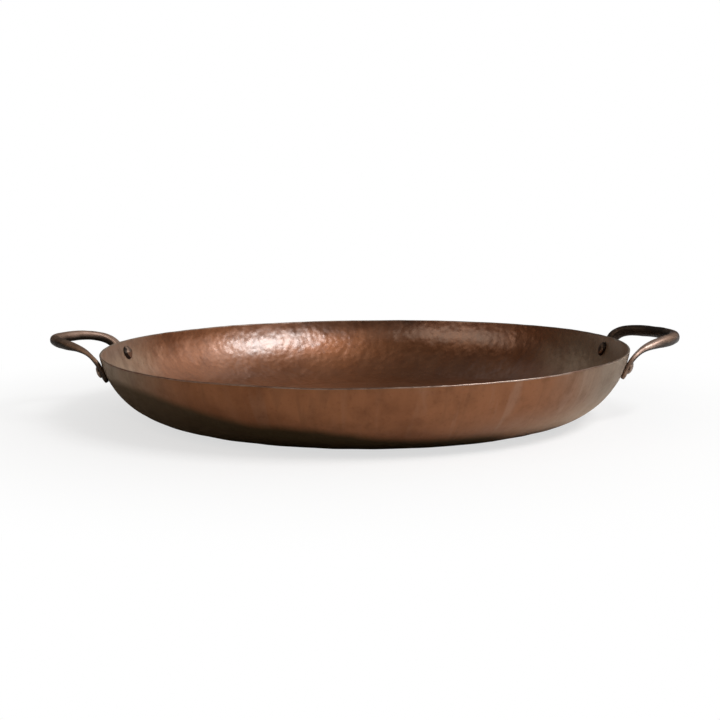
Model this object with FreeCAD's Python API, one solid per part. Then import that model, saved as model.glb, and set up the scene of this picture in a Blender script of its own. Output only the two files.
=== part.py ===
"""Round hammered tray with a loop handle riveted on at each side.

Frame: origin at the centre of the underside of the base, +Z up, the two handles on the X axis.
Lengths are in millimetres and angles in degrees.

The tray is one dished sheet: a flat base, a rounded side and a narrow straight band up to the rim.
Each handle is one forged bar. Its middle is nearly round, and its two ends are hammered out into
flat tabs, which lie on the outside of the wall. One rivet goes through each tab and the wall.
"""

import FreeCAD
import Part
import math
import os

from FreeCAD import Vector

# ---- Tray ----
RIM_DIAMETER = 400.0        # outside, over the widest part of the rim
TRAY_HEIGHT = 50.7          # table to the top of the rim
SHEET_THICKNESS = 1.6
RIM_LEAN = 10.8             # lean of the wall at the rim, outwards from upright
RIM_BAND = 0.6              # height of the straight band between the rounded side and the rim

# ---- Handles ----
HANDLE_REACH = 40.0         # outer edge of the bar beyond the rim
HANDLE_RISE = 7.5           # middle line of the bar above the rim
LEG_SPACING = 97.0          # between the two rivets of a handle, where they pass the wall's outside
LEG_SWEEP = 9.0             # how gently a leg curves outwards: a larger value gives a slower curve
LOOP_FULLNESS = 1.75        # seen from above: 2 is half an ellipse, and less is more pointed
GRIP_WIDTH = 8.4            # of the bar at its middle, seen from above
GRIP_HEIGHT = 8.4           # of the bar at its middle, seen from the side
LEG_WIDTH = 9.6             # of a leg where it passes the rim
LEG_THICKNESS = 3.0
TAPER_LENGTH = 40.0         # along the bar, from the rim's level to where it has its full section
TAB_WIDTH = 12.6
TAB_THICKNESS = 3.2
TAB_TAIL = 8.8              # from the rivet's axis to the tab's lower end
TAB_CORNER = 3.6            # corner radius of the tab's lower end
BEDDING_ALLOWANCE = 0.4     # dressed off the whole back of a tab, beyond what the wall's curve needs

# ---- Rivets ----
RIVET_DROP = 10.3           # from the rim down to the rivet's axis, on the outside of the wall
SHANK_DIAMETER = 5.0
SHANK_CLEARANCE = 0.05      # between the shank and its hole, all round
INNER_HEAD_DIAMETER = 10.6
INNER_HEAD_HEIGHT = 3.2
OUTER_HEAD_DIAMETER = 9.6
OUTER_HEAD_HEIGHT = 3.0
HEAD_ALLOWANCE = 0.3        # hammered off the foot of a head, beyond what the wall's curve needs

# ---- How finely the forged bar is described ----
SECTION_STEP = 5.0          # along the bar, between two cross-sections
SECTION_POLES = 16          # round each cross-section
SQUARE_EDGE = 3.6           # superellipse exponent of a tab's cross-section
ROUND_EDGE = 2.1            # superellipse exponent at the middle of the bar
CORNER_SECTIONS = 4         # cross-sections along the rounded corner of a tab's lower end
LINE_TURNS = (8, 14, 22, 33, 48, 68)     # points of the middle line, in degrees from the wall

UP = Vector(0, 0, 1)
SIDES = {"right": 1, "left": -1}     # of the X axis
LEGS = {"front": -1, "rear": 1}      # of the Y axis

rim_radius = RIM_DIAMETER / 2
rim_edge_radius = SHEET_THICKNESS / 2
lean_sin = math.sin(math.radians(RIM_LEAN))
lean_cos = math.cos(math.radians(RIM_LEAN))
# The rim's edge is rounded about a point half a sheet inside it, and the side is one arc from the
# base up to the straight band.
edge_centre_radius = rim_radius - rim_edge_radius
edge_centre_height = TRAY_HEIGHT - rim_edge_radius
band_top_height = edge_centre_height - rim_edge_radius * lean_sin
side_radius = (band_top_height - RIM_BAND) / (1 - lean_sin)
side_top_height = side_radius * (1 - lean_sin)
base_radius = (edge_centre_radius + rim_edge_radius * lean_cos
               - RIM_BAND * lean_sin / lean_cos - side_radius * lean_cos)
rivet_height = TRAY_HEIGHT - RIVET_DROP
# The back of a tab is dressed hollow to fit the round wall.
tab_bedding = TAB_WIDTH ** 2 / 8 / rim_radius + BEDDING_ALLOWANCE
tab_corner = min(TAB_CORNER, TAB_WIDTH / 2)


def side_point(lean, radius):
    """The point of an arc about the side's centre where the surface leans by this many radians."""
    return Vector(base_radius + radius * math.cos(lean), 0, side_radius - radius * math.sin(lean))


def side_arc(lean_top, radius):
    """The arc of the side from the base to where it leans by lean_top, in the XZ plane."""
    upright = math.pi / 2
    middle = side_point((upright + lean_top) / 2, radius)
    return Part.Arc(side_point(upright, radius), middle, side_point(lean_top, radius)).toShape()


def rim_point(direction_x, direction_z):
    """A point on the rounded edge of the rim, in a unit direction from the edge's centre."""
    return Vector(edge_centre_radius + rim_edge_radius * direction_x, 0,
                  edge_centre_height + rim_edge_radius * direction_z)


def revolve(edges):
    """A full turn of a closed outline in the XZ plane about the tray's axis."""
    return Part.Face(Part.Wire(edges)).revolve(Vector(0, 0, 0), UP, 360)


def line(start, end):
    return Part.makeLine(start, end)


def dished_sheet():
    """The tray's sheet, with no rivet holes."""
    lean = math.radians(RIM_LEAN)
    inner_radius = side_radius - SHEET_THICKNESS
    outer_edge = rim_point(lean_cos, -lean_sin)
    inner_edge = rim_point(-lean_cos, lean_sin)
    crest = rim_point(lean_sin, lean_cos)
    underside = Vector(0, 0, 0)
    floor = Vector(0, 0, SHEET_THICKNESS)
    outer_arc = side_arc(lean, side_radius)
    inner_arc = side_arc(lean, inner_radius)
    return revolve([
        line(underside, side_point(math.pi / 2, side_radius)),
        outer_arc,
        line(side_point(lean, side_radius), outer_edge),
        Part.Arc(outer_edge, crest, inner_edge).toShape(),
        line(inner_edge, side_point(lean, inner_radius)),
        inner_arc,
        line(side_point(math.pi / 2, inner_radius), floor),
        line(floor, underside),
    ])


def filled_dish():
    """Everything inside the tray's outer surface, up to the rim."""
    lean = math.radians(RIM_LEAN)
    outer_edge = rim_point(lean_cos, -lean_sin)
    return revolve([
        line(Vector(0, 0, 0), side_point(math.pi / 2, side_radius)),
        side_arc(lean, side_radius),
        line(side_point(lean, side_radius), outer_edge),
        line(outer_edge, Vector(0, 0, outer_edge.z)),
        line(Vector(0, 0, outer_edge.z), Vector(0, 0, 0)),
    ])


def wall_at(height):
    """Radius and lean, in radians, of the tray's outer surface at a height."""
    if height >= side_top_height:
        lean = math.radians(RIM_LEAN)
        return side_point(lean, side_radius).x + (height - side_top_height) * math.tan(lean), lean
    lean = math.asin(1 - height / side_radius)
    return side_point(lean, side_radius).x, lean


def leg_azimuth():
    """Angle about the tray's axis, from +X to a leg, in radians."""
    return math.asin(LEG_SPACING / 2 / wall_at(rivet_height)[0])


def wall_frame(height, azimuth):
    """A point on the tray's outer surface, and the surface's outward normal there."""
    radius, lean = wall_at(height)
    around = Vector(math.cos(azimuth), math.sin(azimuth), 0)
    return around * radius + UP * height, around * math.cos(lean) - UP * math.sin(lean)


def tab_point(height):
    """The middle line of the undressed tab at a height, on the leg with positive Y."""
    point, normal = wall_frame(height, leg_azimuth())
    return point + normal * (TAB_THICKNESS - tab_bedding) / 2


def loop_point(turn):
    """The bar's middle line outside the tab: turn is 0 at the wall and 90 degrees at the middle."""
    start = tab_point(rivet_height)
    reach = rim_radius + HANDLE_REACH - GRIP_WIDTH / 2 - start.x
    outwards = reach * math.sin(math.radians(turn)) ** (2 / LOOP_FULLNESS)
    sideways = start.y * max(0.0, math.cos(math.radians(turn))) ** (2 / LOOP_FULLNESS)
    rise = TRAY_HEIGHT + HANDLE_RISE - start.z
    return start + Vector(outwards, sideways - start.y, rise * (1 - math.exp(-outwards / LEG_SWEEP)))


def bar_line():
    """The bar's middle line as one smooth curve, from one tab's lower end over to the other's."""
    drop = TAB_TAIL * math.cos(wall_at(rivet_height - TAB_TAIL / 2)[1])
    half = [tab_point(rivet_height - drop * share) for share in (1, 0.5, 0)]
    half += [loop_point(turn) for turn in LINE_TURNS]
    other = [Vector(p.x, -p.y, p.z) for p in reversed(half)]
    curve = Part.BSplineCurve()
    curve.interpolate(half + [loop_point(90)] + other)
    return curve


def blend(share):
    """Goes smoothly from 0 to 1 as share does."""
    share = min(1.0, max(0.0, share))
    return share * share * (3 - 2 * share)


def between(start, end, share):
    return start + (end - start) * share


def grip_share(from_end):
    """0 on the tab and the flat part of a leg, rising to 1 where the bar has its full section."""
    return blend((from_end - TAB_TAIL - RIVET_DROP) / TAPER_LENGTH)


def bar_size(from_end):
    """Width, thickness and superellipse exponent of the bar, by the distance from its nearer end."""
    to_leg = blend((from_end - TAB_TAIL - OUTER_HEAD_DIAMETER / 2) / RIVET_DROP)
    to_grip = grip_share(from_end)
    width = between(between(TAB_WIDTH, LEG_WIDTH, to_leg), GRIP_WIDTH, to_grip)
    thickness = between(TAB_THICKNESS + tab_bedding, LEG_THICKNESS, to_leg)
    thickness = between(thickness, GRIP_HEIGHT, to_grip)
    if from_end < tab_corner:
        width -= 2 * (tab_corner - math.sqrt(tab_corner ** 2 - (tab_corner - from_end) ** 2))
    return width, thickness, between(SQUARE_EDGE, ROUND_EDGE, to_grip)


def broad_direction(centre, along, from_end):
    """Which way the bar's width runs: along the wall on a leg, and level on the grip."""
    level = UP.cross(along).normalize()
    side = math.copysign(1, centre.y)
    wall = Vector(-math.sin(leg_azimuth()) * side, math.cos(leg_azimuth()), 0)
    wall = wall * math.copysign(1, wall.dot(level))
    across = between(wall, level, grip_share(from_end))
    return (across - along * across.dot(along)).normalize()


def bar_section(centre, along, from_end):
    """Poles round the bar's cross-section. The skin runs a little inside them, so they are spread."""
    width, thickness, exponent = bar_size(from_end)
    spread = 3 / (2 + math.cos(2 * math.pi / SECTION_POLES)) / 2
    across = broad_direction(centre, along, from_end)
    through = along.cross(across).normalize()
    poles = []
    for i in range(SECTION_POLES):
        angle = 2 * math.pi * i / SECTION_POLES
        c, s = math.cos(angle), math.sin(angle)
        u = math.copysign(abs(c) ** (2 / exponent), c) * width * spread
        v = math.copysign(abs(s) ** (2 / exponent), s) * thickness * spread
        poles.append(centre + across * u + through * v)
    return poles


def section_places(length):
    """Distances along the bar of its cross-sections, close together at the rounded lower ends."""
    steps = max(8, round((length / 2 - tab_corner) / SECTION_STEP))
    half = [tab_corner * i / CORNER_SECTIONS for i in range(CORNER_SECTIONS)]
    half += [between(tab_corner, length / 2, i / steps) for i in range(steps)]
    return half + [length / 2] + [length - place for place in reversed(half)]


def forged_bar():
    """The whole bar of the right-hand handle, before its tabs are dressed to the wall and drilled."""
    curve = bar_line()
    length = curve.length()
    sections = []
    for place in section_places(length):
        parameter = curve.parameterAtDistance(place, curve.FirstParameter)
        along = Vector(*curve.tangent(parameter)[0])
        sections.append(bar_section(curve.value(parameter), along, min(place, length - place)))
    spans = len(sections) - 3
    skin = Part.BSplineSurface()
    skin.buildFromPolesMultsKnots(
        sections,
        [4] + [1] * (spans - 1) + [4],
        [1] * (SECTION_POLES + 1),
        list(range(spans + 1)),
        list(range(SECTION_POLES + 1)),
        False, True, 3, 3,
    )
    ends = [Part.Face(Part.Wire(skin.uIso(u).toShape())) for u in (0, spans)]
    shell = Part.Shell([skin.toShape()] + ends)
    shell.sewShape()
    return Part.Solid(shell)


def along_rivet(shape, side, leg):
    """Puts a shape made about +Z from the origin onto a rivet's axis: +Z points out of the wall."""
    point, normal = wall_frame(rivet_height, leg_azimuth())
    normal = Vector(side * normal.x, leg * normal.y, normal.z)
    placed = shape.copy()
    turn = FreeCAD.Rotation(UP, normal)
    placed.Placement = FreeCAD.Placement(Vector(side * point.x, leg * point.y, point.z), turn)
    return placed


def rivet_hole(side, leg):
    depth = SHEET_THICKNESS + TAB_THICKNESS
    radius = SHANK_DIAMETER / 2 + SHANK_CLEARANCE
    drill = Part.makeCylinder(radius, 4 * depth, Vector(0, 0, -2 * depth))
    return along_rivet(drill, side, leg)


def right_handle():
    """The bar with the backs of its tabs dressed to the wall, and both tabs drilled."""
    bar = forged_bar().cut(filled_dish())
    for leg in LEGS.values():
        bar = bar.cut(rivet_hole(SIDES["right"], leg))
    return bar


def dome(diameter, height):
    """A rivet head that stands on the XY plane, with a foot below it to be trimmed to its seat."""
    radius = diameter / 2
    sphere_radius = (radius ** 2 + height ** 2) / (2 * height)
    shoulder_angle = math.asin(radius / sphere_radius) / 2
    shoulder = Vector(sphere_radius * math.sin(shoulder_angle), 0,
                      height - sphere_radius * (1 - math.cos(shoulder_angle)))
    edge, crown = Vector(radius, 0, 0), Vector(0, 0, height)
    foot_depth = radius ** 2 / 2 / side_radius + HEAD_ALLOWANCE
    foot_edge, foot_centre = Vector(radius, 0, -foot_depth), Vector(0, 0, -foot_depth)
    return revolve([
        Part.Arc(edge, shoulder, crown).toShape(),
        line(crown, foot_centre),
        line(foot_centre, foot_edge),
        line(foot_edge, edge),
    ])


def rear_rivet(sheet, handle):
    """The right rear rivet, with its two heads hammered down onto the sheet and the tab."""
    inner = dome(INNER_HEAD_DIAMETER, INNER_HEAD_HEIGHT)
    inner.rotate(Vector(0, 0, 0), Vector(1, 0, 0), 180)
    inner.translate(Vector(0, 0, -SHEET_THICKNESS))
    outer = dome(OUTER_HEAD_DIAMETER, OUTER_HEAD_HEIGHT)
    outer.translate(Vector(0, 0, TAB_THICKNESS))
    grip = SHEET_THICKNESS + TAB_THICKNESS
    shank = Part.makeCylinder(SHANK_DIAMETER / 2, grip, Vector(0, 0, -SHEET_THICKNESS))
    whole = along_rivet(shank.fuse([inner, outer]).removeSplitter(), SIDES["right"], LEGS["rear"])
    return largest_solid(whole.cut(sheet).cut(handle))


def largest_solid(shape):
    """The one solid that a cut leaves, without any thin flake beside it."""
    return max(shape.Solids, key=lambda solid: solid.Volume)


def mirrored(shape, side, leg):
    """A copy of a piece of the right rear quarter, mirrored to another side and leg."""
    if side == SIDES["left"]:
        shape = shape.mirror(Vector(0, 0, 0), Vector(1, 0, 0))
    if leg == LEGS["front"]:
        shape = shape.mirror(Vector(0, 0, 0), Vector(0, 1, 0))
    return shape


def build():
    """Every piece of the tray by name, in place."""
    sheet = dished_sheet()
    for side in SIDES.values():
        for leg in LEGS.values():
            sheet = sheet.cut(rivet_hole(side, leg))
    sheet = largest_solid(sheet)
    handle = largest_solid(right_handle())
    rivet = rear_rivet(sheet, handle)
    pieces = {"tray_bowl": sheet}
    for side_name, side in SIDES.items():
        pieces[side_name + "_handle"] = mirrored(handle, side, LEGS["rear"])
        for leg_name, leg in LEGS.items():
            pieces[side_name + "_" + leg_name + "_rivet"] = mirrored(rivet, side, leg)
    return pieces


def main():
    os.makedirs("parts", exist_ok=True)
    for name, shape in build().items():
        shape.exportStep(os.path.join("parts", name + ".step"))
        print(name, "valid" if shape.isValid() else "NOT VALID", round(shape.Volume), "mm3")


main()
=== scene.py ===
import math
import random

import bmesh
import bpy
import numpy as np
from mathutils import Matrix, Vector, noise


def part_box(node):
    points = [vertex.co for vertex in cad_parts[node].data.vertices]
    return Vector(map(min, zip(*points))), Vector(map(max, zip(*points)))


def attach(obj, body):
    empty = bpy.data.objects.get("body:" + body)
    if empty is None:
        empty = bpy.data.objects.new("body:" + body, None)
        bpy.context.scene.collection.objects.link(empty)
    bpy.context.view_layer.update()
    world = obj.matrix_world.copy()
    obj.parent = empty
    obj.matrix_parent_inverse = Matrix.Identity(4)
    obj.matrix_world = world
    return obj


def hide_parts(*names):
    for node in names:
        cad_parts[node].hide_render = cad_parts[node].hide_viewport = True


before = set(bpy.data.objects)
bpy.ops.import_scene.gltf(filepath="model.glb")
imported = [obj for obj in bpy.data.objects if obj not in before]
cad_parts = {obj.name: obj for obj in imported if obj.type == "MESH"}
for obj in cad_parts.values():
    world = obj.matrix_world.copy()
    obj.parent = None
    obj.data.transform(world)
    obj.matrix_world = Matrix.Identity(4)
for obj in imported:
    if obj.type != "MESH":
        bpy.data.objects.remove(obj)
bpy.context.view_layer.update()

mm = 0.001

# ---- The sheet: its size comes from the CAD bowl ----
bowl_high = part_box("tray_bowl")[1]
RIM_RADIUS = bowl_high.x
RIM_HEIGHT = bowl_high.z
SHEET = 1.6 * mm                # how thick the sheet is
RIM_LEAN = math.radians(10.8)
RIM_BAND = 0.6 * mm             # height of the straight band under the rounded edge
RIM_EDGE = SHEET / 2            # radius of the rounded edge
EDGE_CENTRE = Vector((RIM_RADIUS - RIM_EDGE, 0, RIM_HEIGHT - RIM_EDGE))
BAND_TOP = EDGE_CENTRE.z - RIM_EDGE * math.sin(RIM_LEAN)
SIDE_RADIUS = (BAND_TOP - RIM_BAND) / (1 - math.sin(RIM_LEAN))
BASE_RADIUS = (EDGE_CENTRE.x + RIM_EDGE * math.cos(RIM_LEAN)
               - RIM_BAND * math.tan(RIM_LEAN) - SIDE_RADIUS * math.cos(RIM_LEAN))
SIDE_CENTRE = Vector((BASE_RADIUS, 0, SIDE_RADIUS))
RIM_TILT, RIM_SADDLE = 2.1, 0.8     # how far the beaten rim is out of level, in millimetres

# ---- Rows of the sheet, from the middle of the underside over the rim to the middle inside ----
TURNS_ROUND = 800               # faces in one ring
OUTER_FLOOR, OUTER_SIDE, BAND, EDGE, INNER_SIDE, INNER_FLOOR = 5, 24, 1, 6, 60, 26
EDGE_ROW = OUTER_FLOOR + OUTER_SIDE + BAND      # the rounded edge starts here
RIM_TOP = EDGE_ROW + EDGE // 2
INNER_ROW = EDGE_ROW + EDGE                     # the inside of the wall starts here
FLOOR_ROW = INNER_ROW + BAND + INNER_SIDE       # the inside of the floor starts here
ROWS = FLOOR_ROW + INNER_FLOOR + 1

# ---- Passes of the hammer ----
# Each has the rows it covers, how many blows fall, their half widths and depths, how much
# longer than wide they are, the seed of their scatter and how steeply the hollows fall.
BLOWS = {
    "planishing": dict(rows=(INNER_ROW + 3, FLOOR_ROW + 2), count=3600,
                       radii=(2.6 * mm, 4.8 * mm), depths=(0.08 * mm, 0.19 * mm),
                       stretch=(0.9, 1.35), seed=11),
    "broad": dict(rows=(INNER_ROW, FLOOR_ROW + 4), count=420,
                  radii=(6 * mm, 10 * mm), depths=(0.14 * mm, 0.32 * mm),
                  stretch=(0.9, 1.5), seed=12, power=1.4),
    "drawn": dict(rows=(INNER_ROW, INNER_ROW + 24), count=700,
                  radii=(1.8 * mm, 3.4 * mm), depths=(0.04 * mm, 0.11 * mm),
                  stretch=(2.2, 4.0), seed=17, power=1.2),
    "floor": dict(rows=(FLOOR_ROW + 2, ROWS - 4), count=900,
                  radii=(5 * mm, 10 * mm), depths=(0.06 * mm, 0.16 * mm),
                  stretch=(0.9, 1.3), seed=13, power=1.4),
    # Slower waves, left by raising the wall over a stake.
    "inner_waves": dict(rows=(INNER_ROW, FLOOR_ROW), count=160,
                        radii=(12 * mm, 26 * mm), depths=(0.2 * mm, 0.5 * mm),
                        stretch=(0.8, 1.6), seed=14, power=2.0),
    "outer_waves": dict(rows=(OUTER_FLOOR, RIM_TOP - 2), count=120,
                        radii=(8 * mm, 22 * mm), depths=(0.10 * mm, 0.34 * mm),
                        stretch=(1.0, 2.6), seed=15, power=2.0),
    "outer_marks": dict(rows=(OUTER_FLOOR, RIM_TOP - 2), count=420,
                        radii=(3.5 * mm, 7 * mm), depths=(0.03 * mm, 0.08 * mm),
                        stretch=(1.2, 2.4), seed=16, power=2.0),
}
# Towards the ends of the tray the blows inside are lighter, and they start to be so nearer the
# middle on the right than on the left.
LIGHTER_BLOWS = {"from_right": 110 * mm, "from_left": 150 * mm, "over": 80 * mm, "by": 0.75}
WEAR = 1.6                      # how quickly the wear of the high spots ends down the hollows

# ---- The handles ----
# Legs are -1 in front and 1 at the rear, and pairs of values for the legs go front, rear.
TAB = {"width": 12.6 * mm, "thickness": 3.2 * mm, "tail": 8.8 * mm, "corner": 3.6 * mm,
       "bedding": 0.5 * mm, "bevel": 1.2 * mm, "square": 3.4}
HANDLES = {
    "right_handle": {
        "side": 1, "reach": 40.0 * mm, "rise": 8.7 * mm, "sweep": (9.0 * mm, 5.8 * mm),
        "fullness": 1.75, "grip": (8.6 * mm, 8.6 * mm), "taper": 34 * mm, "seed": 31,
        "legs": ((9.6 * mm, 3.8 * mm), (9.6 * mm, 7.6 * mm)),
        "tarnish": (0.68, 0.30, 0.95), "polish": (0.165, 0.08, 0.95), "tabs": 0.16,
    },
    "left_handle": {
        "side": -1, "reach": 40.0 * mm, "rise": 6.4 * mm, "sweep": (9.0 * mm, 10.5 * mm),
        "fullness": 1.7, "grip": (7.6 * mm, 7.6 * mm), "taper": 40 * mm, "seed": 32,
        "legs": ((9.6 * mm, 3.0 * mm), (9.6 * mm, 6.4 * mm)),
        "tarnish": (0.34, 0.10, 0.55), "polish": (0.74, 0.20, 0.40), "tabs": 0.45,
    },
}
GRIP_SQUARE = 2.2               # 2 is a round bar, and more is squarer
LEG_FROM, LEG_OVER = 4.8 * mm, 10.3 * mm    # past the rivet, the tab turns into the leg
GRIP_FROM = 10.3 * mm                       # past the rivet, the leg starts to fill out
TAB_DARK_TO, TAB_DARK_OVER = 11 * mm, 7 * mm    # how far up the bar the tab's painted shade goes
UNDER_FROM, UNDER_SMOKE = 0.55, 0.9     # the bar's underside is darkened with painted shade
UNDER_SPARED = 0.65                     # but this much less at the tabs
BAR_TURNS = (4, 7, 10, 14, 18, 22, 27, 33, 40, 48, 57, 67, 78)  # degrees, leg to middle
SECTION_POINTS = 40
SECTION_STEP = 1.1 * mm
POINTS_BETWEEN = 16             # points put between two points of a smooth line
FORGE_MARKS = ((90, 0.30 * mm), (300, 0.06 * mm))   # how fine and how deep

# ---- The rivets ----
RIVET_BELOW_RIM = 10.3 * mm
RIVET_SIDEWAYS = 48.5 * mm      # from the middle of the handle
RIVET_HEIGHT = RIM_HEIGHT - RIVET_BELOW_RIM
RIVET_LEAN = math.asin(1 - RIVET_HEIGHT / SIDE_RADIUS)
RIVET_AZIMUTH = math.asin(RIVET_SIDEWAYS / (SIDE_CENTRE.x + SIDE_RADIUS * math.cos(RIVET_LEAN)))
INNER_HEAD = {"radius": 5.8 * mm, "height": 3.6 * mm, "spread": (0.97, 1.02), "clean_from": 0.35}
OUTER_HEAD = {"radius": 4.8 * mm, "height": 2.0 * mm, "spread": (0.96, 1.03), "clean_from": 0.25}
SHANK_RADIUS = 2.5 * mm
HEAD_SUNK = 0.5 * mm            # how far the shank's ends lie inside the heads
HEAD_UNDERCUT = 0.98            # a head's foot against its full radius
HEAD_STEPS, RIVET_TURNS = 12, 56
DOME_POWER = 0.9
RIVET_MARKS = (260, 0.35 * mm)  # how fine and how deep
RIVET_FLATS = 9                 # hammer flats on the two heads
FLAT_AWAY, FLAT_CUT = 5.4 * mm, 0.8     # where the flats start, and how much they take off
GRIME_FADES = 0.45              # share of a head's height over which its painted shade ends
GRIME_SHELTER = 1.3             # how sharply the painted shade ends past the shaded side
RIGHT_INNER_GRIME = 0.48        # least painted shade on the inner heads of the right handle
OUTER_GRIME = 0.6


# =====================================================================================
# Shared shape helpers
# =====================================================================================

def finished(bm, name, material, node):
    """Turns a bmesh into a piece of the tray that stands for a CAD node."""
    mesh = bpy.data.meshes.new(name)
    for face in bm.faces:
        face.smooth = True
    bm.to_mesh(mesh)
    bm.free()
    piece = bpy.data.objects.new(name, mesh)
    bpy.context.collection.objects.link(piece)
    mesh.materials.append(material)
    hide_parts(node)
    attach(piece, "root")
    return piece


def mark(piece, **values):
    """Writes values of the piece's points that its finish reads, each under its own name."""
    for name, numbers in values.items():
        layer = piece.data.attributes.new(name, "FLOAT", "POINT")
        layer.data.foreach_set("value", numbers)


def rim_lift(azimuth):
    """How far the hand-beaten rim stands above or below level, by the angle from +X."""
    return (RIM_TILT * math.cos(azimuth) + RIM_SADDLE * math.cos(2 * azimuth)) * mm


def settle(point):
    """A point of the even tray, moved as the beaten wall there has moved."""
    lift = rim_lift(math.atan2(point.y, point.x)) * point.z / RIM_HEIGHT
    return Vector((point.x, point.y, point.z + lift))


def wall_at(height):
    """Radius and lean of the wall's outside at a height."""
    lean = math.asin(max(math.sin(RIM_LEAN), 1 - height / SIDE_RADIUS))
    radius = SIDE_CENTRE.x + SIDE_RADIUS * math.cos(lean)
    band = height - SIDE_RADIUS * (1 - math.sin(RIM_LEAN))
    return radius + max(0.0, band) * math.tan(RIM_LEAN), lean


def wall_frame(height, azimuth):
    """A point on the wall's outside and the outward normal there."""
    radius, lean = wall_at(height)
    around = Vector((math.cos(azimuth), math.sin(azimuth), 0))
    normal = around * math.cos(lean) - Vector((0, 0, math.sin(lean)))
    return settle(around * radius + Vector((0, 0, height))), normal


def rivet_azimuth(side, leg):
    """The angle from +X of the rivet that holds one leg of a handle."""
    return RIVET_AZIMUTH * leg if side > 0 else math.pi - RIVET_AZIMUTH * leg


def eased(share):
    """A share that leaves 0 and reaches 1 gently. It takes a number or an array."""
    share = np.clip(share, 0.0, 1.0)
    return share * share * (3 - 2 * share)


def mixed(start, end, share):
    return start + (end - start) * share


def run_straight(bm, last, end, count=1):
    """Adds a straight run of edges from a vertex."""
    step = (end - last.co) / count
    for _ in range(count):
        last = bmesh.ops.extrude_vert_indiv(bm, verts=[last])["verts"][0]
        last.co += step
    return last


def run_round(bm, last, centre, angle, count):
    """Adds an arc of edges from a vertex, in the plane of the outline."""
    spun = bmesh.ops.spin(bm, geom=[last], cent=centre, axis=(0, 1, 0), angle=angle, steps=count)
    return [item for item in spun["geom_last"] if isinstance(item, bmesh.types.BMVert)][0]


def turn_outline(bm, turns):
    """Turns an outline once round the upright axis and closes it."""
    bmesh.ops.spin(bm, geom=bm.verts[:] + bm.edges[:], cent=(0, 0, 0), axis=(0, 0, 1),
                   angle=2 * math.pi, steps=turns, use_merge=True)
    bmesh.ops.remove_doubles(bm, verts=bm.verts, dist=1e-6)
    bmesh.ops.recalc_face_normals(bm, faces=bm.faces)
    bm.normal_update()


# =====================================================================================
# The bowl
# =====================================================================================

def bowl_outline(bm):
    """The outline of the sheet, from the middle of the underside over the rim to the middle inside."""
    sweep = math.pi / 2 - RIM_LEAN
    last = bm.verts.new((0, 0, 0))
    last = run_straight(bm, last, Vector((BASE_RADIUS, 0, 0)), OUTER_FLOOR)
    last = run_round(bm, last, SIDE_CENTRE, -sweep, OUTER_SIDE)
    lean = Vector((math.sin(RIM_LEAN), 0, math.cos(RIM_LEAN)))
    last = run_straight(bm, last, last.co + lean * RIM_BAND / lean.z, BAND)
    last = run_round(bm, last, EDGE_CENTRE, -math.pi, EDGE)
    last = run_straight(bm, last, last.co - lean * RIM_BAND / lean.z, BAND)
    last = run_round(bm, last, SIDE_CENTRE, sweep, INNER_SIDE)
    run_straight(bm, last, Vector((0, 0, SHEET)), INNER_FLOOR)


def hammer(along, across, rows, count, radii, depths, stretch, seed, power=1.0):
    """A field of hammer blows over some rows of the sheet: depth by row and turn.

    along is each row's distance down the outline, and across the width of one face there.
    The deepest blow wins where hollows overlap.
    """
    draw = random.Random(seed)
    field = np.zeros((ROWS, TURNS_ROUND))
    first, last = rows
    area = np.cumsum(across[first:last] * np.gradient(along[first:last]))
    area = area / area[-1]
    for _ in range(count):
        row = min(first + int(np.searchsorted(area, draw.random())), last - 1)
        turn = draw.randrange(TURNS_ROUND)
        radius = draw.uniform(*radii)
        length = radius * draw.uniform(*stretch)
        depth = draw.uniform(*depths) * (radius / radii[1]) ** 0.5
        low = max(first, int(np.searchsorted(along, along[row] - length)))
        high = min(last, int(np.searchsorted(along, along[row] + length)) + 1)
        wide = int(radius / across[row]) + 1
        if high - low < 2 or wide > TURNS_ROUND // 4:
            continue
        offsets = np.arange(-wide, wide + 1)
        turns = (turn + offsets) % TURNS_ROUND
        away = ((along[low:high, None] - along[row]) / length) ** 2
        away = away + (across[low:high, None] * offsets[None, :] / radius) ** 2
        hollow = depth * np.clip(1 - away, 0, 1) ** power
        field[low:high, turns] = np.maximum(field[low:high, turns], hollow)
    return field


def soften(field):
    """Rubs the ridges between the hollows down a little."""
    up = np.vstack([field[:1], field[:-1]])
    down = np.vstack([field[1:], field[-1:]])
    return (field * 4 + up + down + np.roll(field, 1, 1) + np.roll(field, -1, 1)) / 8


def ripple(length, height, seed):
    """An uneven line round the rim, closed on itself, with waves down to a given length."""
    draw = random.Random(seed)
    angle = np.arange(TURNS_ROUND) * 2 * math.pi / TURNS_ROUND
    line = np.zeros(TURNS_ROUND)
    waves = int(2 * math.pi * RIM_RADIUS / length)
    for wave in range(max(2, waves // 5), waves):
        line += draw.gauss(0, 1) * np.sin(wave * angle + draw.uniform(0, 2 * math.pi))
    return height * (line / np.abs(line).max())


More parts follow.
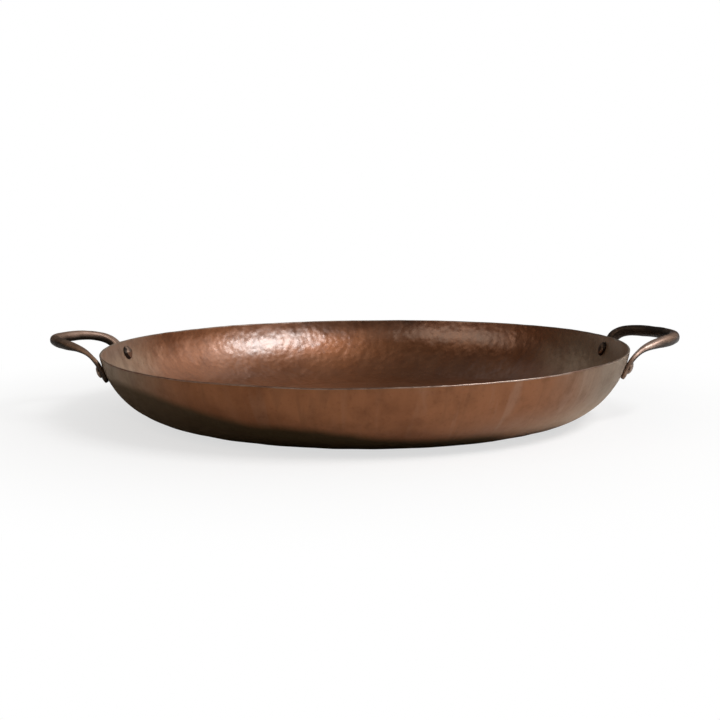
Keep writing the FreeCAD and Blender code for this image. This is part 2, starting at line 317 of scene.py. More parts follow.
def sheet_relief(outline):
    """How deep the sheet is beaten and how worn its high spots are, by row and turn."""
    steps = np.hypot(*np.diff(outline, axis=0).T)
    along = np.concatenate([[0], np.cumsum(steps)])
    across = np.maximum(outline[:, 0], 1e-4) * 2 * math.pi / TURNS_ROUND
    beaten = {name: hammer(along, across, **blows) for name, blows in BLOWS.items()}
    marks = soften(np.maximum(beaten["planishing"], beaten["broad"])
                   + beaten["drawn"] + beaten["floor"])

    across_x = np.cos(np.arange(TURNS_ROUND) * 2 * math.pi / TURNS_ROUND)[None, :]
    lighter_from = np.where(across_x > 0, LIGHTER_BLOWS["from_right"], LIGHTER_BLOWS["from_left"])
    to_ends = (np.abs(across_x) * outline[:, :1] - lighter_from) / LIGHTER_BLOWS["over"]
    marks = marks * (1 - LIGHTER_BLOWS["by"] * eased(to_ends))

    depth = (marks + beaten["inner_waves"] + beaten["outer_waves"]
             + soften(beaten["outer_marks"]))
    depth[:OUTER_FLOOR] = 0
    worn = np.zeros((ROWS, TURNS_ROUND))
    worn[INNER_ROW:] = 1 - np.clip(marks[INNER_ROW:] / marks.max() * WEAR, 0, 1)
    return depth, worn


def make_bowl(inside_finish, outside_finish):
    """The one hammered sheet: beaten all over, with its rim bent out of level."""
    bm = bmesh.new()
    bowl_outline(bm)
    bm.verts.ensure_lookup_table()
    outline = np.array([(v.co.x, v.co.z) for v in bm.verts])
    row_layer = bm.verts.layers.int.new("row")
    for row, vert in enumerate(bm.verts):
        vert[row_layer] = row
    turn_outline(bm, TURNS_ROUND)

    depth, worn = sheet_relief(outline)
    height_share = np.clip(outline[:, 1] / RIM_HEIGHT, 0, 1)
    edge_share = np.zeros(ROWS)
    edge_share[EDGE_ROW:INNER_ROW + 1] = 1
    lip = ripple(18 * mm, 0.10 * mm, seed=21) + ripple(70 * mm, 0.28 * mm, seed=22)
    thinning = ripple(14 * mm, 0.06 * mm, seed=23)
    worn_values, lip_values = [], []
    for vert in bm.verts:
        row = vert[row_layer]
        azimuth = math.atan2(vert.co.y, vert.co.x)
        turn = int(round(azimuth / (2 * math.pi) * TURNS_ROUND)) % TURNS_ROUND
        share = height_share[row]
        vert.co -= vert.normal * float(depth[row, turn] + edge_share[row] * thinning[turn])
        vert.co.z += float(share * rim_lift(azimuth) + share ** 6 * lip[turn])
        worn_values.append(float(worn[row, turn]))
        lip_values.append(float(edge_share[row]))
    for face in bm.faces:
        outside = max(vert[row_layer] for vert in face.verts) <= EDGE_ROW
        face.material_index = int(outside)
    bowl = finished(bm, "hammered_bowl", inside_finish, "tray_bowl")
    bowl.data.materials.append(outside_finish)
    mark(bowl, worn=worn_values, lip=lip_values)


# =====================================================================================
# The handles
# =====================================================================================

def tab_point(height, side, leg):
    """The middle line of a tab at a height."""
    point, normal = wall_frame(height, rivet_azimuth(side, leg))
    return point + normal * (TAB["thickness"] - TAB["bedding"]) / 2


def bar_points(facts):
    """Points of the bar's middle line, from the front tab's lower end to the rear tab's."""
    side = facts["side"]
    tab_lean = wall_at(RIVET_HEIGHT - TAB["tail"] / 2)[1]
    line = []
    for leg in (-1, 1):
        start = tab_point(RIVET_HEIGHT, side, leg)
        half = [tab_point(RIVET_HEIGHT - TAB["tail"] * math.cos(tab_lean) * share, side, leg)
                for share in (1.0, 0.75, 0.5, 0.25, 0.0)]
        reach = RIM_RADIUS + facts["reach"] - facts["grip"][0] / 2 - abs(start.x)
        rise = RIM_HEIGHT + facts["rise"] - start.z
        power = 2 / facts["fullness"]
        for turn in BAR_TURNS:
            turn = math.radians(turn)
            out = reach * math.sin(turn) ** power
            lift = rise * (1 - math.exp(-out / facts["sweep"][leg > 0]))
            half.append(Vector((side * (abs(start.x) + out), start.y * math.cos(turn) ** power,
                                start.z + lift)))
        if leg < 0:
            lift = rise * (1 - math.exp(-reach / facts["sweep"][0]))
            half.append(Vector((side * (abs(start.x) + reach), 0, start.z + lift)))
            line = half
        else:
            line += reversed(half)
    return line


def even_line(points, step):
    """Points at even steps along a smooth line through the given points, with their places on it."""
    fine = []
    for i in range(len(points) - 1):
        a = points[max(0, i - 1)]
        b, c = points[i], points[i + 1]
        d = points[min(len(points) - 1, i + 2)]
        for k in range(POINTS_BETWEEN):
            t = k / POINTS_BETWEEN
            fine.append(0.5 * ((2 * b) + (c - a) * t + (2 * a - 5 * b + 4 * c - d) * t * t
                               + (3 * b - a - 3 * c + d) * t ** 3))
    fine.append(points[-1].copy())
    places = np.concatenate([[0], np.cumsum([(q - p).length for p, q in zip(fine, fine[1:])])])
    length = places[-1]
    wanted = np.linspace(0, length, int(length / step) + 1)
    flat = np.array(fine)
    line = np.stack([np.interp(wanted, places, flat[:, i]) for i in range(3)], axis=1)
    for _ in range(3):
        line[1:-1] = (line[:-2] + 2 * line[1:-1] + line[2:]) / 4
    return [Vector(p) for p in line], wanted, length


def bar_size(facts, leg, from_end):
    """The bar's width, thickness, squareness and share of grip, by the distance from a leg's end."""
    leg_width, leg_thickness = facts["legs"][leg > 0]
    grip_width, grip_thickness = facts["grip"]
    from_rivet = from_end - TAB["tail"]
    to_leg = float(eased((from_rivet - LEG_FROM) / LEG_OVER))
    to_grip = float(eased((from_rivet - GRIP_FROM) / facts["taper"]))
    width = mixed(mixed(TAB["width"], leg_width, to_leg), grip_width, to_grip)
    thickness = mixed(TAB["thickness"] + TAB["bedding"], leg_thickness, to_leg)
    thickness = mixed(thickness, grip_thickness, to_grip)
    corner = TAB["corner"]
    if from_end < corner:
        width -= 2 * (corner - math.sqrt(corner ** 2 - (corner - from_end) ** 2))
        thickness -= TAB["bevel"] * (1 - from_end / corner) ** 2
    return width, thickness, mixed(TAB["square"], GRIP_SQUARE, to_grip), to_grip


def bar_axes(facts, leg, tangent, to_grip):
    """The two directions of the bar's width and thickness: flat on the wall at the tabs."""
    azimuth = rivet_azimuth(facts["side"], leg)
    level = Vector((0, 0, 1)).cross(tangent).normalized()
    wall = Vector((-math.sin(azimuth), math.cos(azimuth), 0))
    wall = wall * math.copysign(1, wall.dot(level))
    broad = mixed(wall, level, to_grip)
    broad = (broad - tangent * broad.dot(tangent)).normalized()
    return broad, tangent.cross(broad).normalized()


def rounded(part, square, size):
    """How far out a rounded section goes, by the cosine or the sine of the angle round it."""
    return math.copysign(abs(part) ** (2 / square), part) * size / 2


def forge_mark(spot, seed):
    """How far the forged surface is in or out at a spot."""
    (broad, broad_depth), (fine, fine_depth) = FORGE_MARKS
    return (noise.noise(spot * broad + Vector((seed, 0, 0))) * broad_depth
            + noise.noise(spot * fine + Vector((0, seed, 0))) * fine_depth)


def forge_bar(bm, facts):
    """Draws the bar out ring by ring along its line. Returns its length."""
    centres, places, length = even_line(bar_points(facts), SECTION_STEP)
    place_layer = bm.verts.layers.int.new("place")
    along_layer = bm.verts.layers.float.new("along")
    bmesh.ops.create_circle(bm, segments=SECTION_POINTS, radius=1)
    bm.verts.ensure_lookup_table()
    for i, vert in enumerate(bm.verts):
        vert[place_layer] = i
    ring, edges = bm.verts[:], bm.edges[:]
    first_edges = edges
    for station, (centre, place) in enumerate(zip(centres, places)):
        if station:
            grown = bmesh.ops.extrude_edge_only(bm, edges=edges)["geom"]
            ring = [item for item in grown if isinstance(item, bmesh.types.BMVert)]
            edges = [item for item in grown if isinstance(item, bmesh.types.BMEdge)
                     and item.verts[0] in ring and item.verts[1] in ring]
        after = centres[min(station + 1, len(centres) - 1)]
        before = centres[max(station - 1, 0)]
        tangent = (after - before).normalized()
        leg = -1 if place < length / 2 else 1
        width, thickness, square, to_grip = bar_size(facts, leg, min(place, length - place))
        broad, through = bar_axes(facts, leg, tangent, to_grip)
        for vert in ring:
            angle = 2 * math.pi * vert[place_layer] / SECTION_POINTS
            spot = (centre + broad * rounded(math.cos(angle), square, width)
                    + through * rounded(math.sin(angle), square, thickness))
            outward = (spot - centre).normalized()
            vert.co = spot + outward * forge_mark(spot, facts["seed"])
            vert[along_layer] = place / length
    bmesh.ops.edgeloop_fill(bm, edges=edges)
    bmesh.ops.edgeloop_fill(bm, edges=first_edges)
    bmesh.ops.recalc_face_normals(bm, faces=bm.faces)
    bm.normal_update()
    return length


def patch(spot, along):
    """How strong a spot of the bar is at a place, by its middle, half length and strength."""
    middle, half_length, strength = spot
    return strength * math.exp(-((along - middle) / half_length) ** 2)


def make_handle(name, facts, material):
    """One forged bar, with painted shade underneath and on its tabs, tarnish, and a painted highlight
    along the top.
    """
    bm = bmesh.new()
    length = forge_bar(bm, facts)
    along_layer = bm.verts.layers.float["along"]
    tarnish, polish = [], []
    for vert in bm.verts:
        along = vert[along_layer]
        from_end = min(along, 1 - along) * length
        # Painted shade darkens the underside and the tabs, and the tarnish patch is added to it.
        under = float(eased(UNDER_FROM - vert.normal.z))
        at_wall = 1 - float(eased((from_end - TAB_DARK_TO) / TAB_DARK_OVER))
        smoke = UNDER_SMOKE * under * (1 - UNDER_SPARED * at_wall) + facts["tabs"] * at_wall
        smoke += patch(facts["tarnish"], along)
        tarnish.append(min(1.0, smoke))
        # A painted highlight lies along the top of the bar, away from the tabs.
        polish.append(patch(facts["polish"], along) * (1 - at_wall) * (1 - under))
    handle = finished(bm, "forged_" + name, material, name)
    mark(handle, tarnish=tarnish, polish=polish)


# =====================================================================================
# The rivets
# =====================================================================================

def run_dome(bm, last, start, radius, height, rising):
    """Adds the outline of a head: from its crown to its foot below the sheet, or back above it."""
    for step in range(1, HEAD_STEPS + 1):
        angle = (step if rising < 0 else HEAD_STEPS - step) / HEAD_STEPS * math.pi / 2
        last = run_straight(bm, last, Vector((
            radius * math.sin(angle) ** DOME_POWER, 0,
            start + rising * height * math.cos(angle) ** DOME_POWER)))
    return last


def rivet_outline(bm, inner_radius, outer_radius):
    """The rivet's outline, from the crown of its inner head down its shank to the outer crown.

    Height 0 is the outside of the wall, and the outer head sits on the handle's tab.
    """
    seat = TAB["thickness"]
    last = bm.verts.new((0, 0, -SHEET - INNER_HEAD["height"]))
    last = run_dome(bm, last, -SHEET, inner_radius, INNER_HEAD["height"], -1)
    for radius, height in ((inner_radius * HEAD_UNDERCUT, -SHEET + HEAD_SUNK),
                           (SHANK_RADIUS, -SHEET + HEAD_SUNK),
                           (SHANK_RADIUS, seat - HEAD_SUNK),
                           (outer_radius * HEAD_UNDERCUT, seat - HEAD_SUNK),
                           (outer_radius, seat)):
        last = run_straight(bm, last, Vector((radius, 0, height)))
    run_dome(bm, last, seat, outer_radius, OUTER_HEAD["height"], 1)


def beat_heads(bm, draw):
    """Roughens the heads and takes a few hammer flats off them."""
    seat = TAB["thickness"]
    shift = Vector((draw.uniform(0, 90), draw.uniform(0, 90), 0))
    flats = [Vector((draw.uniform(-1, 1), draw.uniform(-1, 1), draw.choice((-1.6, 1.6)))).normalized()
             for _ in range(RIVET_FLATS)]
    middle = Vector((0, 0, (seat - SHEET) / 2))
    fineness, depth = RIVET_MARKS
    for vert in bm.verts:
        if abs(vert.co.z - middle.z) > (seat + SHEET) / 2 - 0.2 * mm:
            vert.co += vert.normal * (noise.noise(vert.co * fineness + shift) * depth)
            for flat in flats:
                past = (vert.co - middle).dot(flat) - FLAT_AWAY
                if past > 0:
                    vert.co -= flat * past * FLAT_CUT


def make_rivet(name, side, leg, material):
    """A rivet with an inner head, its shank and an outer head, hammered to uneven domes."""
    draw = random.Random("rivet " + name)
    inner_radius = INNER_HEAD["radius"] * draw.uniform(*INNER_HEAD["spread"])
    outer_radius = OUTER_HEAD["radius"] * draw.uniform(*OUTER_HEAD["spread"])
    seat = TAB["thickness"]
    bm = bmesh.new()
    rivet_outline(bm, inner_radius, outer_radius)
    turn_outline(bm, RIVET_TURNS)
    beat_heads(bm, draw)
    point, normal = wall_frame(RIVET_HEIGHT, rivet_azimuth(side, leg))
    place = Matrix.Translation(point) @ normal.to_track_quat("Z", "Y").to_matrix().to_4x4()

    # Painted shade sits round the foot of each head, and inside it is thickest on the side that
    # faces the other rivet and down, a painted crescent of shadow.
    grimy = Vector((0, -leg, -0.35)).normalized()
    skirt = []
    for vert in bm.verts:
        if vert.co.z < 0:
            rise = (-SHEET - vert.co.z) / INNER_HEAD["height"]
            foot = 1 - float(eased((rise - INNER_HEAD["clean_from"]) / GRIME_FADES))
            past_middle = (place @ vert.co - point).dot(grimy) / inner_radius
            sheltered = float(eased(0.5 + past_middle * GRIME_SHELTER))
            skirt.append(max(foot * sheltered, RIGHT_INNER_GRIME if side > 0 else 0.0))
        else:
            rise = (vert.co.z - seat) / OUTER_HEAD["height"]
            foot = 1 - float(eased((rise - OUTER_HEAD["clean_from"]) / GRIME_FADES))
            skirt.append(OUTER_GRIME * foot)
    bmesh.ops.transform(bm, matrix=place, verts=bm.verts)
    rivet = finished(bm, "domed_" + name, material, name)
    mark(rivet, skirt=skirt)


# =====================================================================================
# Materials
# =====================================================================================

class Finish:
    """Nodes of a finish, built up one by one on the piece's own coordinates.

    Spans of x, y and z are in metres: x goes from left to right, y to the back and z up from
    the table. For the room they are parts of a direction. Shares go from 0 to 1.
    """

    def __init__(self, owner, coordinates="Object"):
        self.owner = owner
        owner.use_nodes = True
        self.tree = owner.node_tree
        self.tree.nodes.clear()
        self.place = self.add("ShaderNodeTexCoord").outputs[coordinates]
        split = self.add("ShaderNodeSeparateXYZ", {"Vector": self.place}).outputs
        self.x, self.y, self.z = split["X"], split["Y"], split["Z"]
        self.colour = None

    def add(self, kind, inputs=None, **settings):
        node = self.tree.nodes.new(kind)
        for key, value in settings.items():
            setattr(node, key, value)
        for key, value in (inputs or {}).items():
            self.give(node.inputs[key], value)
        return node

    def give(self, socket, value):
        """Sets a socket to a value, or joins another node's output to it."""
        if isinstance(value, bpy.types.NodeSocket):
            self.tree.links.new(value, socket)
        else:
            socket.default_value = value

    def noise(self, scale, detail=3.0, roughness=0.5, distortion=0.0, stretch=None):
        vector = self.place
        if stretch:
            vector = self.add("ShaderNodeMapping", {"Vector": vector, "Scale": stretch}).outputs[0]
        return self.add("ShaderNodeTexNoise", {
            "Vector": vector, "Scale": scale, "Detail": detail, "Roughness": roughness,
            "Distortion": distortion}).outputs["Fac"]

    def cells(self, scale):
        """Small round dimples side by side."""
        return self.add("ShaderNodeTexVoronoi", {
            "Vector": self.place, "Scale": scale, "Smoothness": 0.5},
            feature="SMOOTH_F1").outputs["Distance"]

    def spread(self, value, low, high, to_low=0.0, to_high=1.0):
        """Maps a value from one span to another, held at the ends."""
        return self.add("ShaderNodeMapRange", {
            "Value": value, "From Min": low, "From Max": high,
            "To Min": to_low, "To Max": to_high}, interpolation_type="SMOOTHSTEP").outputs[0]

    def math(self, operation, first, second=0.0):
        return self.add("ShaderNodeMath", {0: first, 1: second}, operation=operation).outputs[0]

    def times(self, first, *others):
        for other in others:
            first = self.math("MULTIPLY", first, other)
        return first

    def plus(self, first, *others):
        for other in others:
            first = self.math("ADD", first, other)
        return first

    def less(self, share, strength=None):
        """What a share leaves over: one less the share, or less a part of it."""
        return self.math("SUBTRACT", 1.0, share if strength is None else self.times(share, strength))

    def uneven(self, value, pattern, amount):
        """A coordinate whose edges wander with a pattern."""
        return self.plus(value, self.times(pattern, amount))

    def mix(self, share, first, second):
        node = self.add("ShaderNodeMix", data_type="RGBA")
        sockets = {socket.name: socket for socket in node.inputs if socket.enabled}
        self.give(sockets["Factor"], share)
        for key, colour in (("A", first), ("B", second)):
            plain = isinstance(colour, tuple)
            self.give(sockets[key], (*colour, 1.0) if plain else colour)
        return [socket for socket in node.outputs if socket.enabled][0]

    def lay(self, tone, share, *shares):
        """Lays a tone over the colour so far, by a share or by the product of several."""
        self.colour = self.mix(self.times(share, *shares), self.colour, tone)

    def attribute(self, name):
        return self.add("ShaderNodeAttribute", attribute_name=name).outputs["Fac"]

    def is_camera_ray(self):
        return self.add("ShaderNodeLightPath").outputs["Is Camera Ray"]

    def bump(self, height, strength, distance, normal=None):
        inputs = {"Height": height, "Strength": strength, "Distance": distance}
        if normal:
            inputs["Normal"] = normal
        return self.add("ShaderNodeBump", inputs).outputs["Normal"]

    def metal(self, roughness, normal, **fixed):
        """Ends the finish as metal of the colour so far."""
        inputs = {"Base Color": self.colour, "Roughness": roughness, "Normal": normal}
        inputs.update({key.replace("_", " "): value for key, value in fixed.items()})
        shader = self.add("ShaderNodeBsdfPrincipled", inputs)
        self.add("ShaderNodeOutputMaterial", {"Surface": shader.outputs[0]})
        return self.owner


# Bump heights in metres.
DIMPLE_BUMP = 0.0005
GRAIN_BUMP, FINE_GRAIN_BUMP = 0.0002, 0.00015
DRAG_BUMP, FORGE_BUMP, RIVET_BUMP = 0.0004, 0.0004, 0.0003

INSIDE_TONES = {
    "bright": (0.285, 0.100, 0.030), "dull": (0.215, 0.072, 0.020),
    "stain": (0.132, 0.042, 0.010), "flush": (0.50, 0.170, 0.050),
    "rim_band": (0.11, 0.038, 0.015), "shoulder": (0.40, 0.160, 0.070),
    "handled": (0.11, 0.038, 0.012), "smoke": (0.026, 0.009, 0.0035),
    "ends": (0.60, 0.470, 0.345), "olive": (0.54, 0.405, 0.26),
    "browned": (0.17, 0.062, 0.025), "pale": (0.76, 0.580, 0.42),
    "worn": (0.44, 0.21, 0.11), "mottle": (0.14, 0.052, 0.023), "grain": (0.07, 0.030, 0.015),
    "lip": (0.26, 0.165, 0.115), "lip_ends": (0.50, 0.410, 0.31),
}
OUTSIDE_TONES = {
    "bright": (0.254, 0.104, 0.047), "dull": (0.204, 0.080, 0.035),
    "right": (0.33, 0.153, 0.084),
    "left_end": (0.200, 0.164, 0.118), "right_end": (0.235, 0.203, 0.160),
    "pale_run": (0.40, 0.27, 0.20), "dark_run": (0.10, 0.050, 0.028),
    "mottle": (0.09, 0.036, 0.017), "grain": (0.07, 0.030, 0.015),
    "scoured": (0.38, 0.270, 0.190),
    "soot": (0.050, 0.035, 0.016), "left_soot": (0.098, 0.068, 0.040),
}
BAR_TONES = {
    "bright": (0.34, 0.22, 0.155), "dull": (0.25, 0.150, 0.098),
    "mottle": (0.14, 0.085, 0.058), "tarnish": (0.022, 0.014, 0.009),
    "grain": (0.30, 0.20, 0.14), "polish": (0.70, 0.51, 0.43),
}
RIVET_TONES = {
    "bright": (0.30, 0.200, 0.145), "dull": (0.20, 0.130, 0.090),
    "grain": (0.08, 0.05, 0.034), "grime": (0.010, 0.006, 0.004),
}


def hammered_copper():
    """The inside of the bowl and its rim."""
    f = Finish(bpy.data.materials.new("hammered_copper_patina"))
    tones = INSIDE_TONES
    clouds, mottle, grain = f.noise(14, 5, 0.6, 0.4), f.noise(60, 5, 0.6), f.noise(420, 4, 0.6)
    height = f.uneven(f.z, mottle, 0.012)
    across = f.uneven(f.x, clouds, 0.04)
    away = f.math("ABSOLUTE", f.x)
    upper = f.spread(height, 0.036, 0.054)
    f.colour = f.mix(f.spread(clouds, 0.35, 0.65), tones["bright"], tones["dull"])

    # Painted shade darkens the right half of the back, and painted light adds an orange glow
    # just right of the lamp's highlight.
    low_stain = f.times(
        f.spread(across, -0.02, 0.05, 0.0, 0.78), f.less(upper),
        f.spread(height, 0.020, 0.034, f.spread(across, 0.03, 0.09, 0.4, 0.0), 1.0))
    high_stain = f.times(f.spread(across, -0.045, 0.015, 0.0, 0.62),
                         f.spread(across, 0.055, 0.080, 1.0, 0.15))
    f.lay(tones["stain"], f.plus(low_stain, f.times(high_stain, upper)))
    flush = f.times(f.spread(across, -0.070, -0.025), f.spread(across, 0.028, -0.018),
                    f.spread(height, 0.022, 0.034), f.spread(height, 0.051, 0.038))
    f.lay(tones["flush"], flush, 0.65)

    # Painted shade darkens the band under the rim and the top of the wall left of the middle,
    # painted light lightens the left shoulder, and painted shade dims the right of the lamp's
    # highlight.
    f.lay(tones["rim_band"], f.spread(height, 0.054, 0.066), 0.75)
    shoulder = f.times(f.spread(f.x, -0.105, -0.145), f.spread(away, 0.210, 0.185))
    f.lay(tones["shoulder"], shoulder, 0.5)
    handled = f.times(f.spread(f.x, -0.10, -0.06), f.spread(f.x, -0.02, -0.05),
                      f.spread(height, 0.026, 0.036))
    f.lay(tones["handled"], handled, 0.15)
    smoked = f.times(f.spread(f.x, 0.060, 0.040), f.spread(height, 0.043, 0.061))
    f.lay(tones["smoke"], smoked, f.spread(f.x, -0.035, -0.075, 0.88, 0.38))

    # Both ends are paler, partly their own tone and partly painted reflection where the wall turns
    # edge-on, more so low down, and the right one has an olive cast; painted shade darkens the top
    # of the wall a little way in from the left end.
    ends = f.times(f.spread(f.uneven(away, clouds, 0.05), 0.188, 0.225),
                   f.math("SUBTRACT", 0.95, f.times(upper, 0.35)))
    f.lay(tones["ends"], ends)
    f.lay(tones["olive"], f.spread(across, 0.162, 0.225), 0.85)
    browned = f.times(f.spread(f.x, -0.118, -0.142), f.spread(f.x, -0.184, -0.164),
                      f.spread(height, 0.034, 0.050))
    f.lay(tones["browned"], browned, 0.6)
    f.lay(tones["pale"],
          f.plus(f.spread(f.x, -0.155, -0.215, 0.0, 0.65), f.spread(f.x, 0.135, 0.190, 0.0, 0.6)),
          f.spread(height, 0.052, 0.034))

    # The high spots between the hammer marks are worn bright, and so is the lip.
    f.lay(tones["worn"], f.attribute("worn"), 0.2)
    f.lay(tones["mottle"], f.spread(mottle, 0.45, 0.75, 0.0, 0.4))
    f.lay(tones["grain"], f.spread(grain, 0.55, 0.8, 0.0, 0.4))
    lip = f.spread(f.attribute("lip"), 0.3, 0.9)
    f.lay(f.mix(ends, tones["lip"], tones["lip_ends"]), lip, f.spread(mottle, 0.7, 0.4))

    rough = f.plus(f.spread(mottle, 0.3, 0.7, 0.0, 0.08), f.spread(grain, 0.4, 0.8, 0.0, 0.08),
                   f.spread(f.x, -0.03, 0.06, 0.55, 0.39))
    # The old lacquer is thinner along the rim, over the right of the tray, on the left shoulder and
    # under the painted rim shade, and most of it is gone where the low painted shade lies on the
    # right.
    bared = f.times(low_stain, f.spread(height, 0.045, 0.034, 0.0, 0.8))
    glaze = f.times(f.spread(height, 0.054, 0.066, 1.0, 0.75), f.spread(f.x, 0.10, 0.16, 1.0, 0.4),
                    f.less(shoulder, 0.5), f.less(flush, 0.1), f.less(browned, 0.4),
                    f.less(smoked, 0.62), f.less(bared))
    dimples = f.bump(f.cells(210), 0.5, DIMPLE_BUMP)
    normal = f.bump(grain, 0.15, GRAIN_BUMP, dimples)
    return f.metal(rough, normal, Metallic=0.9, Coat_Weight=glaze,
                   Coat_Roughness=0.30, Coat_IOR=1.88, Coat_Normal=normal)


def smooth_copper():
    """The outside of the bowl."""
    f = Finish(bpy.data.materials.new("smooth_copper_patina"))
    tones = OUTSIDE_TONES
    clouds, mottle, grain = f.noise(14, 5, 0.6, 0.4), f.noise(60, 5, 0.6), f.noise(420, 4, 0.6)
    streaks = f.noise(40, 4, 0.6, stretch=(1, 1, 0.18))
    # Runs down the wall: fine round the tray, long from top to bottom.
    turned = f.add("ShaderNodeTexGradient", {"Vector": f.place}, gradient_type="RADIAL").outputs["Fac"]
    run = f.add("ShaderNodeCombineXYZ", {"X": f.times(turned, 96.0),
                                         "Y": f.times(f.z, 12.0)}).outputs[0]
    runs = f.add("ShaderNodeTexNoise", {"Vector": run, "Scale": 1.0, "Detail": 3.0,
                                        "Distortion": 0.6}).outputs["Fac"]

    # A brown patina, lighter to the right with painted light, and grey at both ends with painted
    # reflection where the wall turns edge-on, paler at the right end.
    f.colour = f.mix(f.spread(streaks, 0.35, 0.68), tones["bright"], tones["dull"])
    right = f.spread(f.x, -0.09, 0.13)
    f.lay(tones["right"], right, 0.36)
    ends = f.spread(f.uneven(f.math("ABSOLUTE", f.x), clouds, 0.05), 0.135, 0.205)
    f.lay(f.mix(right, tones["left_end"], tones["right_end"]), ends, 0.75)
    f.lay(tones["pale_run"], f.spread(runs, 0.54, 0.72, 0.0, 0.26), f.spread(f.x, 0.0, 0.12, 0.3, 1.0))
    f.lay(tones["dark_run"], f.spread(runs, 0.44, 0.32, 0.0, 0.2))
    f.lay(tones["mottle"], f.spread(mottle, 0.45, 0.75, 0.0, 0.28))
    f.lay(tones["grain"], f.spread(grain, 0.55, 0.8, 0.0, 0.18))
    # Painted light bounced up from the floor lightens the low right of the wall.
    f.lay(tones["scoured"], f.spread(f.z, 0.034, 0.006, 0.0, 0.8), f.spread(f.x, 0.04, 0.165))

    # The foot is black with painted shade, the tray's own shadow on the floor seen in the wall. It
    # climbs higher to the left, and towards the right end only the sole is black, a painted contact
    # shadow.
    reach = f.plus(f.spread(f.x, 0.05, -0.06, 0.0105, 0.0205),
                   f.spread(f.x, -0.06, -0.17, 0.0, 0.0160))
    uneven_height = f.uneven(f.z, mottle, 0.004)
    above = f.math("SUBTRACT", f.uneven(uneven_height, clouds, 0.004), reach)
    blackened = f.times(f.spread(above, 0.0078, 0.0004), f.spread(f.x, 0.108, 0.078))
    sole = f.times(f.spread(uneven_height, 0.0085, 0.0045), f.spread(f.x, 0.175, 0.125))
    foot = f.math("MAXIMUM", blackened, sole)
    f.lay(f.mix(f.spread(f.x, -0.05, -0.18), tones["soot"], tones["left_soot"]), foot, 0.95)

    rough = f.plus(f.spread(mottle, 0.3, 0.7, 0.44, 0.54), f.spread(grain, 0.4, 0.8, 0.0, 0.08),
                   f.times(foot, 0.3))
    normal = f.bump(f.noise(150, 3, 0.5, stretch=(1, 1, 0.3)), 0.3, DRAG_BUMP)
    normal = f.bump(grain, 0.2, GRAIN_BUMP, normal)
    return f.metal(rough, normal, Metallic=0.9, IOR=1.3, Specular_Tint=(1.0, 0.95, 0.88, 1.0))


def forged_copper():
    """The bars of the handles, with painted shade where they face down and at the tabs, tarnish,
    and a painted highlight.
    """
    f = Finish(bpy.data.materials.new("forged_copper_patina"))
    tones = BAR_TONES
    clouds, mottle, grain = f.noise(45, 5, 0.6), f.noise(160, 5, 0.6), f.noise(620, 4, 0.6)
    tarnish = f.plus(f.attribute("tarnish"), f.spread(clouds, 0.3, 0.7, -0.15, 0.2))
    f.colour = f.mix(f.spread(clouds, 0.35, 0.65), tones["bright"], tones["dull"])
    f.lay(tones["mottle"], f.spread(mottle, 0.5, 0.75, 0.0, 0.4))
    f.lay(tones["tarnish"], f.spread(tarnish, 0.1, 0.95, 0.0, 0.96))
    f.lay(tones["grain"], f.spread(grain, 0.62, 0.8, 0.0, 0.3))
    # The painted highlight, broken up by the mottle.
    f.lay(tones["polish"], f.attribute("polish"), f.spread(mottle, 0.75, 0.35, 0.5, 1.0))
    rough = f.plus(f.spread(mottle, 0.3, 0.7, 0.48, 0.58), f.spread(grain, 0.4, 0.8, 0.0, 0.08),
                   f.spread(f.x, 0.0, -0.1, 0.0, 0.12))
    normal = f.bump(mottle, 0.2, FORGE_BUMP)
    normal = f.bump(grain, 0.15, FINE_GRAIN_BUMP, normal)
    return f.metal(rough, normal, Metallic=0.9, Coat_Weight=0.15, Coat_Roughness=0.3)


def rivet_copper():
    """The rivets, darkened with painted shade round the foot of each head."""
    f = Finish(bpy.data.materials.new("rivet_copper_patina"))
    tones = RIVET_TONES
    mottle, grain = f.noise(240, 5, 0.6), f.noise(800, 4, 0.6)
    f.colour = f.mix(f.spread(mottle, 0.35, 0.65), tones["bright"], tones["dull"])
    f.lay(tones["grain"], f.spread(grain, 0.55, 0.8, 0.0, 0.4))
    skirt = f.plus(f.attribute("skirt"), f.spread(mottle, 0.3, 0.7, -0.15, 0.15))
    f.lay(tones["grime"], f.spread(skirt, 0.25, 0.8, 0.0, 0.95))
    normal = f.bump(mottle, 0.3, RIVET_BUMP)
    normal = f.bump(grain, 0.2, FINE_GRAIN_BUMP, normal)
    return f.metal(f.spread(mottle, 0.3, 0.7, 0.40, 0.55), normal,
                   Metallic=0.9, Coat_Weight=0.15, Coat_Roughness=0.3)


# =====================================================================================
# Stage, light and camera
# =====================================================================================

FLOOR_RADIUS = 12
FLOOR_BELOW = 0.1 * mm
WHITE = (1, 1, 1)
# Each lamp: degrees to the right of the front, degrees up, how far off, its size, how bright
# its face is and its colour.
LAMPS = {
    "key_lamp": (61, 48, 1.7, (0.95, 0.52), 12.8, WHITE),
    "halo_lamp": (72, 43, 1.8, (2.4, 1.3), 0.8, WHITE),
    "fill_lamp": (-55, 38, 1.7, (1.5, 0.75), 1.5, (1.0, 0.84, 0.68)),
    "side_lamp": (128, 42, 1.8, (1.7, 1.0), 0.45, WHITE),
    "rear_lamp": (-140, 40, 1.8, (1.3, 0.8), 0.2, WHITE),
}
CAMERA_TARGET = Vector((0, 0, 0.025))
CAMERA_DISTANCE, CAMERA_ELEVATION = 1.10, math.radians(8.52)
CAMERA_SENSOR, CAMERA_LENS = 36, 71.59
CAMERA_SHIFT = (-0.00643, 0.0280)


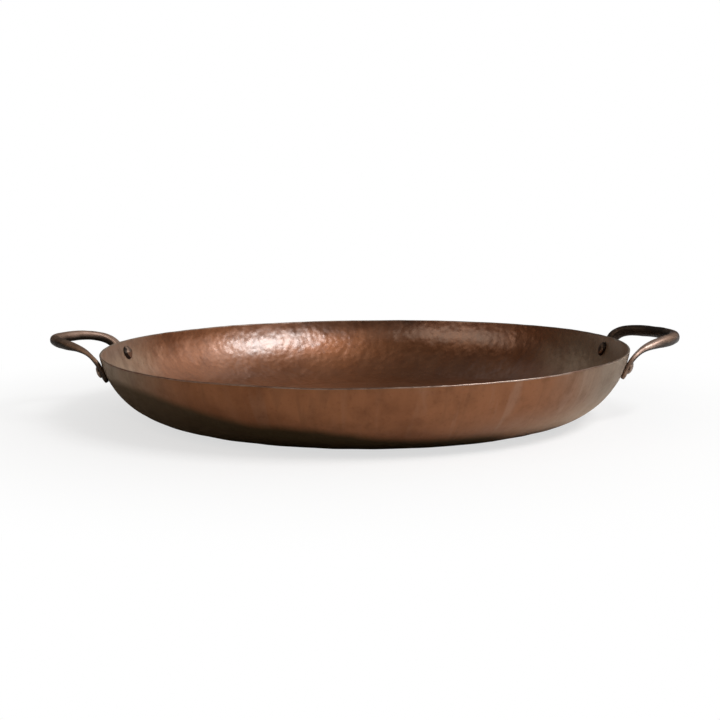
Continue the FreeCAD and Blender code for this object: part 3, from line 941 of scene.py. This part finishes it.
def make_stage():
    """A wide pale floor."""
    bm = bmesh.new()
    bmesh.ops.create_circle(bm, cap_ends=True, segments=128, radius=FLOOR_RADIUS)
    bmesh.ops.translate(bm, vec=(0, 0, -FLOOR_BELOW), verts=bm.verts)
    mesh = bpy.data.meshes.new("pale_floor")
    bm.to_mesh(mesh)
    bm.free()
    floor = bpy.data.objects.new("pale_floor", mesh)
    bpy.context.collection.objects.link(floor)

    f = Finish(bpy.data.materials.new("pale_floor"))
    away = f.add("ShaderNodeVectorMath", {0: f.place}, operation="LENGTH").outputs["Value"]
    share = f.times(f.is_camera_ray(), f.spread(away, 0.14, 0.42, 0.66, 1.0))
    paint = f.add("ShaderNodeBsdfDiffuse", {"Color": (0.92, 0.92, 0.92, 1)})
    glow = f.add("ShaderNodeEmission", {"Color": (*WHITE, 1), "Strength": 1.0})
    both = f.add("ShaderNodeMixShader", {0: share, 1: paint.outputs[0], 2: glow.outputs[0]})
    f.add("ShaderNodeOutputMaterial", {"Surface": both.outputs[0]})
    mesh.materials.append(f.owner)


def turned_to_tray(name, data, away, place):
    """Puts a lamp or camera in its place, facing back along the way it lies in."""
    piece = bpy.data.objects.new(name, data)
    bpy.context.collection.objects.link(piece)
    piece.location = place
    piece.rotation_mode = "QUATERNION"
    piece.rotation_quaternion = away.to_track_quat("Z", "Y")
    return piece


def soft_lamp(name, right, up, distance, size, radiance, colour):
    """A square soft box that faces the tray, given by how bright its face is."""
    lamp = bpy.data.lights.new(name, "AREA")
    lamp.shape = "RECTANGLE"
    lamp.size, lamp.size_y = size
    lamp.energy = radiance * math.pi * size[0] * size[1]
    lamp.color = colour
    right, up = math.radians(right), math.radians(up)
    away = Vector((math.sin(right) * math.cos(up), -math.cos(right) * math.cos(up),
                   math.sin(up))).normalized()
    turned_to_tray(name, lamp, away, away * distance).visible_camera = False


def make_light():
    """The lamps, in a room whose walls are brightest low down at the back."""
    world = bpy.data.worlds.new("studio")
    bpy.context.scene.world = world
    room = Finish(world, "Generated")
    back_level = room.spread(room.x, -0.12, 0.12, 0.4, 0.85)
    low_level = room.spread(room.y, 0.5, 0.85, 0.12, back_level)
    level = room.spread(room.z, 0.04, 0.14, low_level, 0.045)
    glow = room.add("ShaderNodeBackground", {
        "Color": (*WHITE, 1), "Strength": room.math("MAXIMUM", level, room.is_camera_ray())})
    room.add("ShaderNodeOutputWorld", {"Surface": glow.outputs[0]})
    for name, facts in LAMPS.items():
        soft_lamp(name, *facts)


def make_camera():
    camera = bpy.data.cameras.new("camera")
    camera.sensor_width = CAMERA_SENSOR
    camera.lens = CAMERA_LENS
    camera.shift_x, camera.shift_y = CAMERA_SHIFT
    back = Vector((0, -math.cos(CAMERA_ELEVATION), math.sin(CAMERA_ELEVATION)))
    bpy.context.scene.camera = turned_to_tray(
        "camera", camera, back, CAMERA_TARGET + back * CAMERA_DISTANCE)


def main():
    bpy.context.scene.view_settings.view_transform = "Standard"
    make_bowl(hammered_copper(), smooth_copper())
    forged = forged_copper()
    for name, facts in HANDLES.items():
        make_handle(name, facts, forged)
    domed = rivet_copper()
    for side_name, side in (("right", 1), ("left", -1)):
        for leg_name, leg in (("front", -1), ("rear", 1)):
            make_rivet(f"{side_name}_{leg_name}_rivet", side, leg, domed)
    make_stage()
    make_light()
    make_camera()


main()
